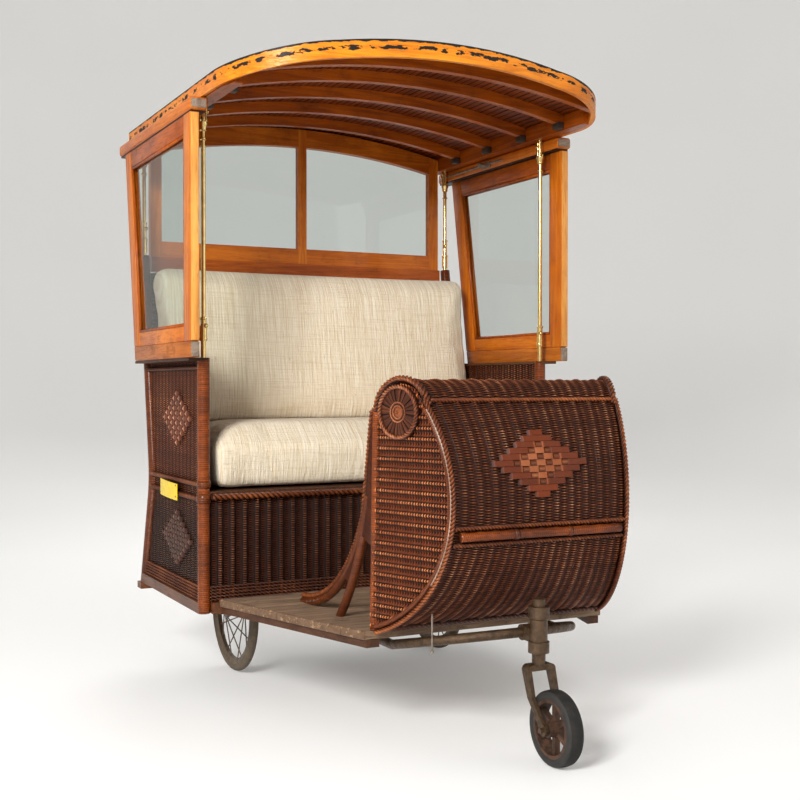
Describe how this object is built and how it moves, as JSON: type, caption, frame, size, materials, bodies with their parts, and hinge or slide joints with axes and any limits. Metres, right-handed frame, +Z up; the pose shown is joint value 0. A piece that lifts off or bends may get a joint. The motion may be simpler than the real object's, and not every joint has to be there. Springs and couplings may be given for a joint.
{
  "type": "wicker rolling chair",
  "caption": "Wicker boardwalk rolling chair with a cushioned bench, rolled front dash, plank floor, glazed wooden canopy on brass rods and a three-wheeled carriage.",
  "frame": {"origin": "on the ground, under the middle of the bounding box", "axes": "+Z up, -Y the way the chair faces, +X to the right hand side seen from the front"},
  "size_m": [1.224, 1.7259, 1.764],
  "materials": {
    "wicker": "woven cane, dark varnish",
    "wrapped_cane": "glossy varnished wrapped cane",
    "oak": "golden varnished oak",
    "dull_oak": "worn varnished oak",
    "dark_wood": "dark stained wood",
    "floor_wood": "weathered bare boards",
    "linen": "slub linen",
    "glass": "clear sheet glass",
    "brass": "polished, aged",
    "roof_cloth": "tarred canvas",
    "bronze_paint": "bronze paint, worn",
    "black_iron": "blackened iron",
    "grey_rim": "dull grey-brown paint",
    "rusty_iron": "rusty cast iron",
    "rubber": "aged solid rubber"
  },
  "bodies": {
    "chair": {"arm_rails": "dull_oak", "axle_blocks": "black_iron", "back_cushion": "linen", "base_boards": "dull_oak", "canopy_rods": "brass", "carriage_tube": "bronze_paint", "cross_sills": "dark_wood", "dash_bar": "wrapped_cane", "dash_braces": "wrapped_cane", "dash_posts": "wrapped_cane", "dash_rosettes": "wicker", "dash_shell": "wicker", "dash_side_left": "wicker", "dash_side_right": "wicker", "floor_boards": "floor_wood", "floor_sills": "dark_wood", "front_posts": "wrapped_cane", "handle_arms": "black_iron", "handle_bar": "dull_oak", "head_tube": "bronze_paint", "rear_axle": "black_iron", "rear_feet": "dark_wood", "rear_glass": "glass", "rear_posts": "wrapped_cane", "rear_rail": "oak", "rear_window": "oak", "roof_cover": "roof_cloth", "roof_hoop": "oak", "roof_plates": "oak", "roof_rails": "oak", "roof_ribs": "oak", "roof_slats": "oak", "seat_cushion": "linen", "seat_deck": "dark_wood", "side_glass": "glass", "side_sills": "dark_wood", "side_window_left": "oak", "side_window_right": "oak", "wicker_apron": "wicker", "wicker_back": "wicker", "wicker_side_left": "wicker", "wicker_side_right": "wicker"},
    "caster_fork": {"caster_fork": "bronze_paint"},
    "caster_roller": {"caster_wheel": "rusty_iron", "caster_tyre": "rubber"},
    "wheel_left": {"rear_wheel_left": "grey_rim", "rear_tyre_left": "rubber"},
    "wheel_right": {"rear_wheel_right": "grey_rim", "rear_tyre_right": "rubber"}
  },
  "joints": [
    {"name": "caster_swivel", "type": "hinge", "parent": "chair", "child": "caster_fork", "pos_m": [0, -0.7035, 0.3], "axis": [0, 0, 1], "continuous": true},
    {"name": "caster_spin", "type": "hinge", "parent": "caster_fork", "child": "caster_roller", "pos_m": [0, -0.7755, 0.0875], "axis": [1, 0, 0], "continuous": true},
    {"name": "left_wheel_spin", "type": "hinge", "parent": "chair", "child": "wheel_left", "pos_m": [-0.349, 0.4525, 0.188], "axis": [1, 0, 0], "continuous": true},
    {"name": "right_wheel_spin", "type": "hinge", "parent": "chair", "child": "wheel_right", "pos_m": [0.349, 0.4525, 0.188], "axis": [1, 0, 0], "continuous": true}
  ]
}
